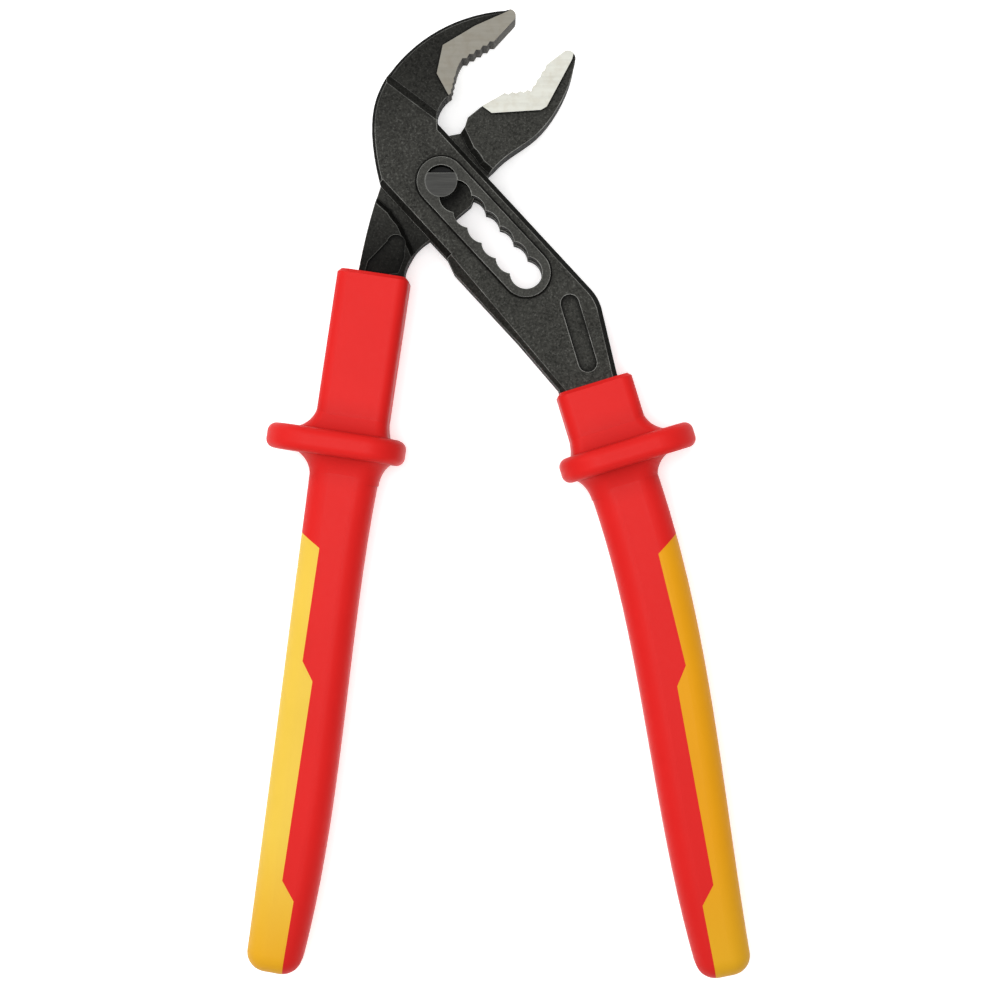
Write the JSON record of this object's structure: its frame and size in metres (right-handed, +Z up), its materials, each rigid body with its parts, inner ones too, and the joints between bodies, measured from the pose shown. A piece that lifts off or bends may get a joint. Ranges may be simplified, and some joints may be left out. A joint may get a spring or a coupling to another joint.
{
  "type": "tongue and groove pliers",
  "caption": "Insulated box-joint tongue and groove pliers with toothed jaws, a scalloped adjustment slot and guarded two-colour handles.",
  "frame": {"origin": "middle of the tool's footprint as it lies flat, at the level of the guards' lowest points", "axes": "+Z up out of the front face and along the pivot pin, +Y from the handles towards the jaws, +X towards the box lever's handle"},
  "size_m": [0.13, 0.25, 0.028],
  "materials": {
    "forged_steel": "satin black over forged and ground steel",
    "pin_steel": "ground",
    "yellow_layer": "satin",
    "red_layer": "satin"
  },
  "bodies": {
    "box_side": {"box_lever": "forged_steel", "box_handle_core": "yellow_layer", "box_handle_grip": "red_layer"},
    "pivot": {"pivot_pin": "pin_steel"},
    "inner_side": {"inner_lever": "forged_steel", "inner_handle_core": "yellow_layer", "inner_handle_grip": "red_layer"}
  },
  "joints": [
    {"name": "notch_slide", "type": "slide", "parent": "box_side", "child": "pivot", "axis": [0.6794, -0.7337, 0], "range_m": [0, 0.03216]},
    {"name": "jaw_hinge", "type": "hinge", "parent": "pivot", "child": "inner_side", "pos_m": [-0.01477, 0.08059, 0.014], "axis": [0, 0, 1], "range_deg": [-6, 18]}
  ]
}
